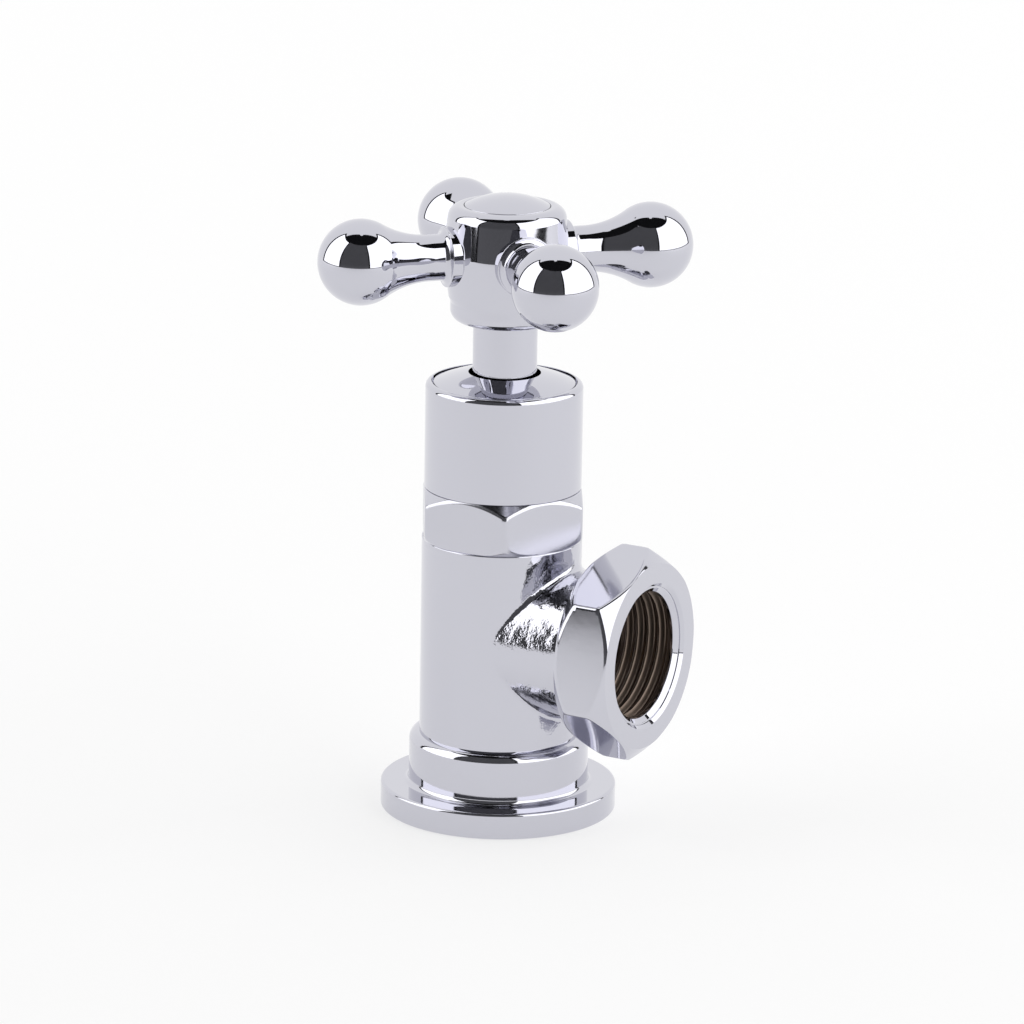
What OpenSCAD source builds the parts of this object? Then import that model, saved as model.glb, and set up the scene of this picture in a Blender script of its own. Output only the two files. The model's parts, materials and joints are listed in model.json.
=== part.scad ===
// Angle pattern stopcock with a rising spindle, a cover sleeve and a cross handle.
// Origin: centre of the base flange's lower face. +Z up along the spindle, +X out of the side outlet.
// All sizes in millimetres. The valve is drawn fully open.

/* [Valve body] */
// Outside diameter of the upright tube
body_d = 24; // [23:0.1:27]
// Height of the tube's top face above the base
body_h = 42.1; // [41:0.1:50]
// Diameter of the base flange
flange_d = 35.4; // [30:0.1:50]
// Thickness of the base flange
flange_t = 4; // [3:0.1:7]
// How far the collar above the flange stands out from the tube
collar_out = 1.5; // [1:0.1:1.9]
// Height of the collar above the flange
collar_h = 7.8; // [4:0.1:10]
// Small rounding on the flange's edges
flange_edge_r = 0.45; // [0.2:0.05:1]
// Radius of the cove between collar and flange
cove_r = 0.8; // [0.3:0.1:1.5]

/* [Threaded ports] */
// Major diameter of the two pipe threads
port_d = 20.96; // [20:0.02:21]
// Diameter of the bevel at each port's mouth
port_mouth_d = 21.9; // [21.4:0.1:23]
// Depth of the thread in the base
inlet_depth = 12; // [8:0.1:12.4]
// Depth of the thread in the side outlet
outlet_depth = 11; // [7:0.1:11]
// Height of the outlet's axis above the base
outlet_z = 27.3; // [26:0.1:28]
// Distance from the spindle's axis to the outlet's face
outlet_reach = 25.4; // [25:0.1:34]
// Width across the flats of the outlet's hexagon
outlet_af = 28; // [26:0.1:28.4]
// Length of the outlet's hexagon
outlet_hex_l = 8.6; // [6:0.1:10]
// Turn of the outlet's hexagon about its own axis, in degrees
outlet_hex_turn = 8.3; // [0:0.1:30]
// Length of the chamfer at the hexagon's front
outlet_chamfer = 2; // [0.8:0.1:2.6]
// Length of the chamfer at the hexagon's back
outlet_back_chamfer = 2.4; // [0.8:0.1:2.6]
// Wall of the branch round the outlet's thread, between tube and hexagon
branch_wall = 0.62; // [0.42:0.02:0.92]
// Step in diameter at the bottom of the inlet's thread
port_relief = 2; // [1.6:0.1:3]
// Bore of the waterway between chamber and outlet thread
waterway_d = 13; // [10:0.1:13.6]

/* [Seat and chamber] */
// Bore through the seat
seat_bore_d = 12.5; // [9:0.1:13]
// Wall of the raised seat lip
seat_lip_w = 1.1; // [0.8:0.1:1.4]
// Height of the seat lip above its web
seat_lip_h = 2; // [1:0.1:2.4]
// Thickness of the web under the seat
seat_web_t = 5.5; // [3:0.1:5.6]
// Diameter of the chamber above the seat
chamber_d = 17.2; // [17:0.1:18]

/* [Bonnet] */
// Height of the bonnet's hexagon
bonnet_hex_h = 7.7; // [6.2:0.1:10]
// Turn of the bonnet's hexagon about the spindle, in degrees
bonnet_turn = 1; // [0:1:59]
// Rounding of the hexagon's lower corners
bonnet_round = 2.45; // [1:0.05:3]
// Length of the chamfer on the hexagon's upper corners
bonnet_chamfer = 1.6; // [0.8:0.1:2.2]
// Diameter of the bonnet's spigot, which screws into the body
spigot_d = 19.9; // [19:0.1:20.4]
// Length of the bonnet's spigot
spigot_l = 6.2; // [5:0.1:6.8]
// Thickness of the fibre seal under the spigot
seal_t = 0.8; // [0.5:0.1:1]
// Diameter of the bonnet's barrel inside the cover sleeve
barrel_d = 18; // [16:0.1:18.6]
// Height of the barrel above the hexagon
barrel_h = 6.7; // [6:0.1:7]
// Bore of the stuffing box
gland_bore_d = 13; // [12:0.1:14]
// Depth of the stuffing box
gland_bore_h = 6.5; // [6:0.1:7]
// Thickness of the guide web between thread and stuffing box
guide_web_t = 3; // [2:0.1:4]

/* [Gland] */
// Thickness of one packing ring
packing_t = 1.8; // [1.4:0.1:2]
// Width across the flats of the gland nut's head
gland_af = 14.5; // [13.8:0.1:16]
// Height of the gland nut's head
gland_head_h = 2.2; // [1.6:0.1:3]
// Length of the chamfer on the gland nut's upper corners
gland_chamfer = 0.6; // [0.3:0.1:1]
// Thickness of the washer between packing and gland nut
gland_washer_t = 0.8; // [0.5:0.1:1]

/* [Spindle] */
// Diameter of the spindle's stem
stem_d = 8; // [7:0.1:8.4]
// Diameter of the spindle's thread, drawn plain
spindle_thread_d = 11.9; // [10:0.1:12.4]
// Travel of the spindle from closed to open
lift = 5; // [2:0.1:5.4]
// Length of the splined end inside the handle
spline_l = 6; // [5:0.1:6.4]
// Diameter of the splined end
spline_d = 7.4; // [6.6:0.1:7.8]

/* [Jumper] */
// Diameter of the rubber washer
washer_d = 15.8; // [15.4:0.1:16.2]
// Thickness of the rubber washer
washer_t = 3.2; // [2:0.1:3.4]
// How far the jumper's plate stays inside the washer's rim
plate_inset = 0.3; // [0.1:0.1:1]
// Thickness of the jumper's plate
plate_t = 1.6; // [1.2:0.1:2]
// Diameter of the jumper's pin inside the spindle
pin_d = 5.8; // [4:0.1:6.2]
// Length of the jumper's pin
pin_l = 8; // [5:0.1:10]
// Diameter of the stud under the plate
stud_d = 3.4; // [3:0.1:4]
// Width across the flats of the nut under the washer
jumper_nut_af = 7; // [6:0.1:8]
// Height of the nut under the washer
jumper_nut_h = 2.4; // [1.6:0.1:2.6]
// Length of the chamfer on the nut's lower corners
nut_chamfer = 0.4; // [0.2:0.05:0.6]

/* [Cover sleeve] */
// Outside diameter of the cover sleeve, with which the bonnet's flats are flush
sleeve_d = 23.5; // [22.6:0.1:24.4]
// Height of the cover sleeve
sleeve_h = 16.1; // [15.4:0.1:22]
// Wall of the cover sleeve
sleeve_wall = 0.9; // [0.86:0.02:1.1]
// Rounding of the sleeve's top lip
sleeve_lip_r = 0.85; // [0.3:0.05:0.85]
// Height of the ring that locates the sleeve on the barrel
sleeve_ring_h = 3.5; // [2:0.1:5]
// Width of the ledge inside the sleeve's mouth
ledge_w = 1.6; // [1:0.1:2]
// Thickness of the ledge
ledge_h = 1.4; // [1:0.1:2]
// Gap seen between the sleeve's lip and the domed cover
cover_gap = 0.28; // [0.2:0.01:0.4]
// Height of the domed cover above the sleeve's lip
dome_h = 1.5; // [0.6:0.1:1.9]
// Thickness of the domed cover
cover_t = 1.5; // [1:0.1:2]
// Width of the domed cover's thick rim
cover_rim_w = 2.3; // [1.6:0.1:3]
// Hole in the domed cover
cover_hole_d = 10.8; // [10.4:0.1:12]

/* [Stem tube] */
// Outside diameter of the chrome tube round the spindle
tube_d = 9.6; // [9.3:0.1:9.8]
// Wall of the chrome tube
tube_wall = 0.5; // [0.4:0.05:0.55]
// Depth of the tube's seat inside the handle
tube_seat = 3.9; // [2:0.1:4.4]
// Gap between the domed cover and the handle, valve open
open_gap = 7.9; // [6:0.1:12]

/* [Handle] */
// Diameter of the hub in the arms' plane, where it is widest
hub_mid_d = 18.7; // [17.6:0.1:20]
// Diameter that the hub's upper taper would reach at its top
hub_top_d = 17.3; // [16.8:0.1:17.5]
// Diameter at the low end of the hub's lower taper
hub_low_d = 17.1; // [16.6:0.1:17.5]
// Diameter of the hub's lower band
band_d = 16.5; // [15.8:0.1:16.5]
// Height of the hub
hub_h = 17.5; // [17:0.1:22]
// Rounding of the hub's top edge
hub_top_r = 1.9; // [0.8:0.1:2]
// Rounding of the hub's bottom edge
hub_bottom_r = 1.8; // [0.8:0.1:2.4]
// Height of the hub's lower band
band_h = 3; // [2.6:0.1:3.4]
// Height of the slope between band and lower taper
band_slope_h = 0.8; // [0.3:0.1:1.5]
// Direction of the first arm, in degrees from the outlet
arm_turn = -42.5; // [-90:0.5:90]
// Distance from the axis to the centre of each ball end
arm_reach = 22.5; // [20:0.1:30]
// Diameter of the ball ends
ball_d = 12.8; // [10:0.1:14]
// Diameter of the arms' necks
neck_d = 6.9; // [5.4:0.1:8]
// Distance from the axis to the thinnest place of the neck
neck_at = 12; // [11.6:0.1:13]
// Diameter of the arms' roots at the hub
root_d = 9; // [8.2:0.1:9.4]
// How far the arms' roots stand out from the hub
root_out = 0.3; // [0.2:0.1:0.6]
// Height of the arms' axis above the hub's bottom
arm_z = 10.2; // [8:0.1:11]

/* [Handle fixings] */
// Outside diameter of the splined bush
bush_d = 12; // [10.6:0.1:12.6]
// Diameter of the handle screw
screw_d = 4; // [3:0.1:4.2]
// Length of the screw below its head
screw_l = 9; // [7:0.1:9.6]
// Diameter of the screw's head
screw_head_d = 7.4; // [6:0.1:8]
// Height of the screw's head
screw_head_h = 2; // [1.4:0.1:2.2]
// Rounding of the screw's head
screw_head_r = 1.2; // [0.4:0.1:1.3]
// Width of the slots in the screw's head
slot_w = 1; // [0.6:0.1:1.4]
// Length of the slots in the screw's head
slot_l = 4.6; // [3:0.1:5]
// Depth of the slots in the screw's head
slot_depth = 1.2; // [0.6:0.1:1.3]
// Room round the screw's head inside the hub
head_room = 0.8; // [0.3:0.1:1.2]
// Thickness of the spring washer
spring_washer_t = 0.8; // [0.5:0.1:1]
// Thickness of the hub's web under the screw
hub_web_t = 1.8; // [1.4:0.1:2.1]
// Diameter of the index cap
cap_d = 12.7; // [12:0.1:13]
// Height of the index cap's dome above the hub
cap_dome_h = 1.6; // [0.8:0.1:2.4]
// Depth of the index cap's skirt
cap_skirt = 2.2; // [1.8:0.1:2.3]
// Gap seen round the index cap
cap_gap = 0.08; // [0.06:0.01:0.15]
// Wall of the index cap
cap_wall = 0.9; // [0.6:0.1:1.2]
// Wall under the groove of the index cap
cap_foot = 0.35; // [0.3:0.05:0.5]
// Height of the rubber ring that grips the index cap
cap_ring_t = 1; // [0.8:0.05:1.1]
// Radial width of the rubber ring
cap_ring_w = 0.75; // [0.5:0.05:1]

/* [Hidden] */
$fn = 96;

// Radial clearance of threads and turning fits
fit = 0.05;
// Radial clearance between pieces that don't turn on each other
loose = 0.15;
// Diametral clearance of the ring that grips the index cap
grip = 0.04;
// Gap left at a stop
stop_gap = 0.3;
// Overlap that makes a cut pass through a face
cut = 1;
// Overlap of two cuts that meet end to end
seam = 0.01;
// Rounding or trimming of an edge that is only broken
edge = 0.2;
// How far the chamfers of a hexagon start inside its flats
chamfer_step = 0.05;
// Radius that the cone under the seat loses per millimetre of height
cone_slope = 2;

// Heights of the body's inner faces
seat_web_z = inlet_depth + seat_web_t;
seat_z = seat_web_z + seat_lip_h;
seal_z = body_h - spigot_l - seal_t;
spigot_bore_d = spigot_d + 2 * fit;
hex_back_x = outlet_reach - outlet_hex_l;
relief_d = port_d - port_relief;
branch_d = port_d + 2 * branch_wall;

// Width across the flats of the bonnet's hexagon
bonnet_af = sleeve_d;
// Depth at which the round of the bonnet's corners would run out below the seam
seam_step = 0.15;

// Heights of the bonnet and the gland
bonnet_z = body_h;
bonnet_top = bonnet_z + bonnet_hex_h;
barrel_top = bonnet_top + barrel_h;
gland_floor = barrel_top - gland_bore_h;
guide_z = gland_floor - guide_web_t;
gland_head_z = barrel_top;
gland_top = gland_head_z + gland_head_h;
gland_washer_z = gland_floor + 2 * packing_t;
gland_neck_z = gland_washer_z + gland_washer_t;

// Heights of the cover sleeve and the domed cover
sleeve_top = bonnet_top + sleeve_h;
sleeve_mouth_d = sleeve_d - 2 * sleeve_wall;
cover_d = sleeve_mouth_d - 2 * cover_gap;
cover_edge_h = 0.15;
cover_rim_z = sleeve_top - cover_edge_h;
cover_ledge_z = cover_rim_z - cover_t;
ledge_bore_r = sleeve_mouth_d / 2 - ledge_w;
// Radius of the dome's sphere, from the rim up to where the dome would close
dome_sphere_r = (pow(cover_d / 2, 2) + pow(dome_rise(), 2)) / (2 * dome_rise());
cover_top = cover_rim_z + dome_h;

// The dome's rise above its rim if it had no hole, so that the hole's edge lies dome_h above the rim
function dome_rise() = dome_h / (1 - pow(cover_hole_d / cover_d, 2));

// Heights of the jumper and the spindle, valve open
closing_gap = 0.05;
washer_z = seat_z + lift + closing_gap;
plate_z = washer_z + washer_t;
spindle_z = plate_z + plate_t;
spindle_thread_top = guide_z - stop_gap;
pin_bore_d = pin_d + 2 * fit;

// Heights of the handle and its fixings, valve open
hub_z = cover_top + open_gap;
tube_z = gland_top + lift + stop_gap;
tube_top = hub_z + tube_seat;
spline_z = tube_top + stop_gap;
spindle_top = spline_z + spline_l - stop_gap;
web_z = spline_z + spline_l;
pocket_z = web_z + hub_web_t;
cap_pocket_d = cap_d + 2 * cap_gap;
screw_hole_d = screw_d + 2 * loose;
head_z = pocket_z + spring_washer_t;
screw_tip = head_z - screw_l;
hub_top = hub_z + hub_h;
cap_z = hub_top - cap_skirt;
cap_groove_d = cap_d - 2 * cap_ring_w;
cap_ring_z = cap_z + cap_foot;

// A solid of revolution with a bore
module tube(d, bore, h) {
    difference() {
        cylinder(d = d, h = h);
        translate([0, 0, -cut]) cylinder(d = bore, h = h + 2 * cut);
    }
}

// A 2-D quarter fillet to add in the corner at the origin, on the +x +y side
module cove(r) {
    difference() {
        square(r);
        translate([r, r]) circle(r = r);
    }
}

// A 2-D half section of a disc of radius r and height h whose top and bottom outer corners are round
module disc_section(r, h, top_r, bottom_r) {
    difference() {
        square([r, h]);
        translate([r - top_r, h - top_r]) square(top_r + cut);
        translate([r - bottom_r, -cut]) square([bottom_r + cut, bottom_r + cut]);
    }
    translate([r - top_r, h - top_r]) circle(r = top_r);
    translate([r - bottom_r, bottom_r]) circle(r = bottom_r);
}

// Size across the corners of a hexagon af across its flats
function corner_d(af) = af / cos(30);

// A hexagonal prism across flats af, with its corners trimmed by cones at both ends
module chamfered_hex(af, h, low, high, low_d, high_d) {
    corner_r = corner_d(af) / 2;
    intersection() {
        cylinder(r = corner_r, h = h, $fn = 6);
        rotate_extrude() polygon([
            [0, 0], [low_d / 2, 0], [corner_r + edge, low * (1 + edge / (corner_r - low_d / 2))],
            [corner_r + edge, h - high * (1 + edge / (corner_r - high_d / 2))], [high_d / 2, h], [0, h]
        ]);
    }
}

// A threaded port's bore with a bevelled mouth, opening towards -Z at the origin
module port_bore(depth) {
    bevel = (port_mouth_d - port_d) / 2;
    rotate_extrude() polygon([
        [0, -cut], [port_mouth_d / 2 + cut, -cut], [port_d / 2, bevel], [port_d / 2, depth], [0, depth]
    ]);
}

// The upright part of the casting in half section: flange, collar with its shoulder, tube
module upright_section() {
    disc_section(flange_d / 2, flange_t, flange_edge_r, flange_edge_r);
    translate([0, flange_t / 2]) square([body_d / 2 + collar_out, flange_t / 2 + collar_h - collar_out]);
    translate([body_d / 2 + collar_out, flange_t]) cove(cove_r);
    translate([body_d / 2, flange_t + collar_h - collar_out]) circle(r = collar_out);
    square([body_d / 2, body_h]);
}

module valve_body() {
    color("lightsteelblue") difference() {
        union() {
            rotate_extrude() intersection() {
                upright_section();
                square([flange_d, body_h]);
            }
            translate([0, 0, outlet_z]) rotate([0, 90, 0]) {
                cylinder(d = branch_d, h = hex_back_x + outlet_hex_l / 2);
                translate([0, 0, hex_back_x]) rotate(-outlet_hex_turn)
                    chamfered_hex(outlet_af, outlet_hex_l, outlet_back_chamfer, outlet_chamfer,
                        outlet_af - 2 * chamfer_step, outlet_af - 2 * chamfer_step);
            }
        }
        // Inlet thread, relief cone and seat bore
        port_bore(inlet_depth);
        translate([0, 0, inlet_depth - seam])
            cylinder(d1 = relief_d, d2 = seat_bore_d, h = (relief_d - seat_bore_d) / 2 / cone_slope);
        cylinder(d = seat_bore_d, h = seat_z + cut);
        // Chamber round the seat's lip, open above
        difference() {
            translate([0, 0, seat_web_z]) cylinder(d = chamber_d, h = body_h);
            cylinder(d = seat_bore_d + 2 * seat_lip_w, h = seat_z);
        }
        // Thread for the bonnet
        translate([0, 0, seal_z]) cylinder(d = spigot_bore_d, h = body_h);
        // Outlet thread and waterway
        translate([outlet_reach, 0, outlet_z]) rotate([0, -90, 0]) port_bore(outlet_depth);
        translate([0, 0, outlet_z]) rotate([0, 90, 0]) cylinder(d = waterway_d, h = outlet_reach);
    }
}

module bonnet_seal() {
    color("firebrick") translate([0, 0, seal_z]) tube(spigot_bore_d - 2 * loose, chamber_d, seal_t);
}

// The bonnet's hexagon, its lower corners round down to the tube and its upper ones chamfered
module bonnet_hexagon() {
    flat_r = bonnet_af / 2;
    corner_r = flat_r / cos(30);
    slope = bonnet_chamfer / (corner_r - flat_r);
    intersection() {
        cylinder(r = corner_r, h = bonnet_hex_h, $fn = 6);
        rotate_extrude() difference() {
            translate([0, -seam_step]) disc_section(corner_r, bonnet_hex_h + seam_step, edge, bonnet_round);
            polygon([
                [flat_r, bonnet_hex_h], [corner_r + cut, bonnet_hex_h - slope * (corner_r + cut - flat_r)],
                [corner_r + cut, bonnet_hex_h + cut], [flat_r, bonnet_hex_h + cut]
            ]);
        }
    }
}

module bonnet() {
    color("lightsteelblue") difference() {
        union() {
            translate([0, 0, bonnet_z]) rotate(bonnet_turn) bonnet_hexagon();
            translate([0, 0, bonnet_z - spigot_l]) cylinder(d = spigot_d, h = spigot_l + cut);
            translate([0, 0, bonnet_top - cut]) cylinder(d = barrel_d, h = barrel_h + cut);
        }
        translate([0, 0, bonnet_z - spigot_l - cut])
            cylinder(d = spindle_thread_d + 2 * fit, h = guide_z - bonnet_z + spigot_l + cut);
        cylinder(d = stem_d + 2 * fit, h = barrel_top + cut);
        translate([0, 0, gland_floor]) cylinder(d = gland_bore_d, h = gland_bore_h + cut);
    }
}

// One packing ring, seated in the stuffing box
module packing_ring(z) {
    translate([0, 0, z]) tube(gland_bore_d - 2 * fit, stem_d + 2 * fit, packing_t);
}

module packing_ring_lower() {
    color("dimgray") packing_ring(gland_floor);
}

module packing_ring_upper() {
    color("dimgray") packing_ring(gland_floor + packing_t);
}

module gland_washer() {
    color("goldenrod") translate([0, 0, gland_washer_z])
        tube(gland_bore_d - 2 * loose, stem_d + 2 * loose, gland_washer_t);
}

module gland_nut() {
    color("goldenrod") difference() {
        union() {
            translate([0, 0, gland_neck_z])
                cylinder(d = gland_bore_d - 2 * fit, h = gland_head_z - gland_neck_z);
            translate([0, 0, gland_head_z])
                chamfered_hex(gland_af, gland_head_h, edge, gland_chamfer,
                    corner_d(gland_af) - edge, gland_af - 2 * chamfer_step);
        }
        translate([0, 0, gland_neck_z - cut]) cylinder(d = stem_d + 2 * fit, h = gland_top);
    }
}

// The sleeve's half section: round lip, ledge for the domed cover, ring round the bonnet's barrel
module sleeve_section() {
    difference() {
        translate([0, bonnet_top]) disc_section(sleeve_d / 2, sleeve_h, sleeve_lip_r, edge);
        translate([0, cover_ledge_z]) square([sleeve_mouth_d / 2, sleeve_h]);
        translate([0, bonnet_top + sleeve_ring_h])
            square([sleeve_mouth_d / 2, cover_ledge_z - ledge_h - bonnet_top - sleeve_ring_h]);
        translate([0, bonnet_top - cut]) square([barrel_d / 2 + fit, sleeve_ring_h + 2 * cut]);
        translate([0, cover_ledge_z - ledge_h - cut]) square([ledge_bore_r, ledge_h + 2 * cut]);
    }
}

module cover_sleeve() {
    color("lightsteelblue") rotate_extrude() sleeve_section();
}

module domed_cover() {
    color("gainsboro") rotate_extrude() difference() {
        union() {
            translate([0, cover_ledge_z]) square([cover_d / 2, cover_t]);
            intersection() {
                translate([0, cover_rim_z + dome_rise() - dome_sphere_r]) circle(r = dome_sphere_r);
                translate([0, cover_ledge_z + cover_t / 2]) square([cover_d / 2, cover_t + 2 * dome_rise()]);
            }
        }
        translate([-cover_d, 0]) square([cover_d + cover_hole_d / 2, 2 * cover_top]);
        translate([0, cover_ledge_z - cut]) square([cover_d / 2 - cover_rim_w, cut + dome_h]);
    }
}

module spindle() {
    color("goldenrod") difference() {
        union() {
            translate([0, 0, spindle_z]) cylinder(d = spindle_thread_d, h = spindle_thread_top - spindle_z);
            translate([0, 0, spindle_z]) cylinder(d = stem_d, h = spline_z - spindle_z);
            translate([0, 0, spline_z - cut]) cylinder(d = spline_d, h = spindle_top - spline_z + cut);
        }
        translate([0, 0, spindle_z - cut]) cylinder(d = pin_bore_d, h = pin_l + stop_gap + cut);
        translate([0, 0, screw_tip - stop_gap]) cylinder(d = screw_d + 2 * fit, h = screw_l);
    }
}

module jumper() {
    color("goldenrod") {
        translate([0, 0, plate_z]) cylinder(d = washer_d - 2 * plate_inset, h = plate_t);
        translate([0, 0, plate_z]) cylinder(d = pin_d, h = plate_t + pin_l);
        translate([0, 0, washer_z - jumper_nut_h])
            cylinder(d = stud_d, h = jumper_nut_h + washer_t + plate_t);
    }
}

module jumper_washer() {
    color("black") translate([0, 0, washer_z]) tube(washer_d, stud_d + 2 * fit, washer_t);
}

module jumper_nut() {
    color("goldenrod") difference() {
        translate([0, 0, washer_z - jumper_nut_h])
            chamfered_hex(jumper_nut_af, jumper_nut_h, nut_chamfer, edge,
                jumper_nut_af, corner_d(jumper_nut_af) - edge);
        translate([0, 0, washer_z - jumper_nut_h - cut])
            cylinder(d = stud_d + 2 * fit, h = jumper_nut_h + 2 * cut);
    }
}

module stem_tube() {
    color("lightsteelblue") translate([0, 0, tube_z]) tube(tube_d, tube_d - 2 * tube_wall, tube_top - tube_z);
}

module spline_bush() {
    color("ivory") translate([0, 0, spline_z]) tube(bush_d, spline_d + 2 * fit, spline_l);
}

// One arm in half section along its own axis: root, neck swept in and out by arcs, ball end.
// The neck's outer arc touches the ball and has its lowest point at neck_at.
module arm_section() {
    ball_r = ball_d / 2;
    neck_r = neck_d / 2;
    root_r = root_d / 2;
    dx = arm_reach - neck_at;
    sweep_r = (dx * dx + neck_r * neck_r - ball_r * ball_r) / (2 * (ball_r - neck_r));
    centre_h = neck_r + sweep_r;
    touch_x = arm_reach - dx * ball_r / (sweep_r + ball_r);
    touch_h = centre_h * ball_r / (sweep_r + ball_r);
    root_fillet = root_r - neck_r;
    root_x = hub_mid_d / 2 + root_out;
    // Ball end
    intersection() {
        translate([arm_reach, 0]) circle(r = ball_r);
        square([arm_reach + ball_r + cut, ball_r + cut]);
    }
    // Neck and sweep up to the ball
    difference() {
        polygon([[neck_at, 0], [arm_reach, 0], [touch_x, touch_h], [neck_at, touch_h]]);
        translate([neck_at, centre_h]) circle(r = sweep_r);
    }
    // Root flare
    square([neck_at, neck_r]);
    square([root_x, root_r]);
    translate([root_x, neck_r]) cove(root_fillet);
}

// The hub in half section: lower band, taper out to the arms' plane, taper in to the round top edge
module hub_section() {
    draft = atan((hub_mid_d - hub_top_d) / 2 / (hub_h - arm_z));
    round_z = hub_h - hub_top_r;
    round_x = hub_mid_d / 2 - (hub_top_r + sin(draft) * (round_z - arm_z)) / cos(draft);
    disc_section(band_d / 2, arm_z, edge, hub_bottom_r);
    polygon([
        [0, band_h], [band_d / 2, band_h], [hub_low_d / 2, band_h + band_slope_h], [hub_mid_d / 2, arm_z],
        [round_x + hub_top_r * cos(draft), round_z + hub_top_r * sin(draft)], [round_x, round_z],
        [round_x, hub_h], [0, hub_h]
    ]);
    translate([round_x, round_z]) circle(r = hub_top_r);
}

module cross_handle() {
    color("lightsteelblue") difference() {
        union() {
            translate([0, 0, hub_z]) rotate_extrude() hub_section();
            for (k = [0 : 3])
                translate([0, 0, hub_z + arm_z]) rotate(arm_turn + 90 * k) rotate([0, 90, 0])
                    rotate_extrude() rotate(90) mirror([0, 1]) arm_section();
        }
        translate([0, 0, hub_z - cut]) cylinder(d = tube_d + 2 * fit, h = tube_seat + cut);
        translate([0, 0, tube_top]) cylinder(d = bush_d + 2 * fit, h = web_z - tube_top);
        cylinder(d = screw_hole_d, h = hub_top);
        translate([0, 0, pocket_z]) cylinder(d = screw_head_d + 2 * head_room, h = hub_h);
        translate([0, 0, cap_z]) cylinder(d = cap_pocket_d, h = hub_h);
    }
}

module spring_washer() {
    color("silver") translate([0, 0, pocket_z]) tube(screw_head_d - edge, screw_hole_d, spring_washer_t);
}

module handle_screw() {
    color("silver") difference() {
        union() {
            translate([0, 0, head_z]) rotate_extrude() intersection() {
                disc_section(screw_head_d / 2, screw_head_h, screw_head_r, edge);
                square([screw_head_d, screw_head_h]);
            }
            translate([0, 0, screw_tip]) cylinder(d = screw_d, h = screw_l + edge);
        }
        for (k = [0, 90])
            translate([0, 0, head_z + screw_head_h]) rotate(k)
                cube([slot_l, slot_w, 2 * slot_depth], center = true);
    }
}

module index_cap() {
    dome_r = (pow(cap_d / 2, 2) + pow(cap_dome_h, 2)) / (2 * cap_dome_h);
    color("gainsboro") rotate_extrude() difference() {
        union() {
            translate([0, cap_z]) square([cap_d / 2, cap_skirt]);
            intersection() {
                translate([0, hub_top + cap_dome_h - dome_r]) circle(r = dome_r);
                translate([0, hub_top - cap_wall]) square([cap_d / 2, cap_wall + cap_dome_h]);
            }
        }
        translate([-cap_d, 0]) square([cap_d, 2 * hub_top]);
        translate([0, cap_z - cut]) square([cap_groove_d / 2 - cap_wall, cap_skirt - cap_wall + cut]);
        translate([cap_groove_d / 2, cap_ring_z]) square([cap_ring_w + cut, cap_ring_t]);
    }
}

module cap_ring() {
    color("black") translate([0, 0, cap_ring_z]) tube(cap_pocket_d - grip, cap_groove_d + grip, cap_ring_t);
}

valve_body();
bonnet_seal();
bonnet();
packing_ring_lower();
packing_ring_upper();
gland_washer();
gland_nut();
cover_sleeve();
domed_cover();
spindle();
jumper();
jumper_washer();
jumper_nut();
stem_tube();
spline_bush();
cross_handle();
spring_washer();
handle_screw();
index_cap();
cap_ring();
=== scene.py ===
"""Looks of a chrome angle stopcock, laid out as a Blender add-on and run as a script."""
import json

import bpy
import numpy as np
from bpy.props import FloatProperty, FloatVectorProperty, PointerProperty
from mathutils import Matrix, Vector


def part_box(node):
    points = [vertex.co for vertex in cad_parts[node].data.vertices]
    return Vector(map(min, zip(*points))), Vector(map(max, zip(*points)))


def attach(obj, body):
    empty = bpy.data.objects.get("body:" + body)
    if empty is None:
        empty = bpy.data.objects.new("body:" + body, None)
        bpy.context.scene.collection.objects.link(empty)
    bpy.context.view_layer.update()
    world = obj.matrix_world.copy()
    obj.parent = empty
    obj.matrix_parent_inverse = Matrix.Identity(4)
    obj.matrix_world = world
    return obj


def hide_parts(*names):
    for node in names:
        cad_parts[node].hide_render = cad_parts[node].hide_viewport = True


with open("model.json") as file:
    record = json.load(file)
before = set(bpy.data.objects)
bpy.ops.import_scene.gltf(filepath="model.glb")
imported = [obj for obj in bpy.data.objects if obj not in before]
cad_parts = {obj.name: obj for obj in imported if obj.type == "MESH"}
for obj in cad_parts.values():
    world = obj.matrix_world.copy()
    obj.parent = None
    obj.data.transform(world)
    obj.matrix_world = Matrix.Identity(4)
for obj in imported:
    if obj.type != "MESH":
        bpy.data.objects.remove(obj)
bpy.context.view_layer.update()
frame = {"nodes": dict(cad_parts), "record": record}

bl_info = {
    "name": "Chrome stopcock",
    "version": (1, 0, 0),
    "blender": (4, 5, 0),
    "location": "View3D > Sidebar > Stopcock",
    "description": "Builds the surfaces, finishes and studio of a chrome angle stopcock",
    "category": "Object",
}

# Steps of the grids: around the branch, and one step of a round corner
AROUND = 360
ARC_STEP = np.radians(6.0)
WELD = 1e-7
SHARPNESS = 1e-9


def size_value(name, description, default):
    """A size in metres that a user can change."""
    return FloatProperty(name=name, description=description, default=default, unit="LENGTH", precision=5)


def angle_value(name, description, degrees):
    """An angle that a user can change."""
    return FloatProperty(name=name, description=description, default=float(np.radians(degrees)), subtype="ANGLE")


def plain_value(name, description, default):
    """A plain number that a user can change."""
    return FloatProperty(name=name, description=description, default=default, precision=4)


def colour_value(name, description, default):
    """A colour that a user can change."""
    return FloatVectorProperty(name=name, description=description, default=default, subtype="COLOR", size=3)


def mount(name):
    """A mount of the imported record, by its name."""
    return next(m for m in frame["record"]["mounts"] if m["name"] == name)


def top_of(node):
    """Height of a node's highest point."""
    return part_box(node)[1].z


def bottom_of(node):
    """Height of a node's lowest point."""
    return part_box(node)[0].z


def radius_of(node):
    """Largest radius of a node that is turned about the spindle's axis."""
    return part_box(node)[1].x


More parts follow.
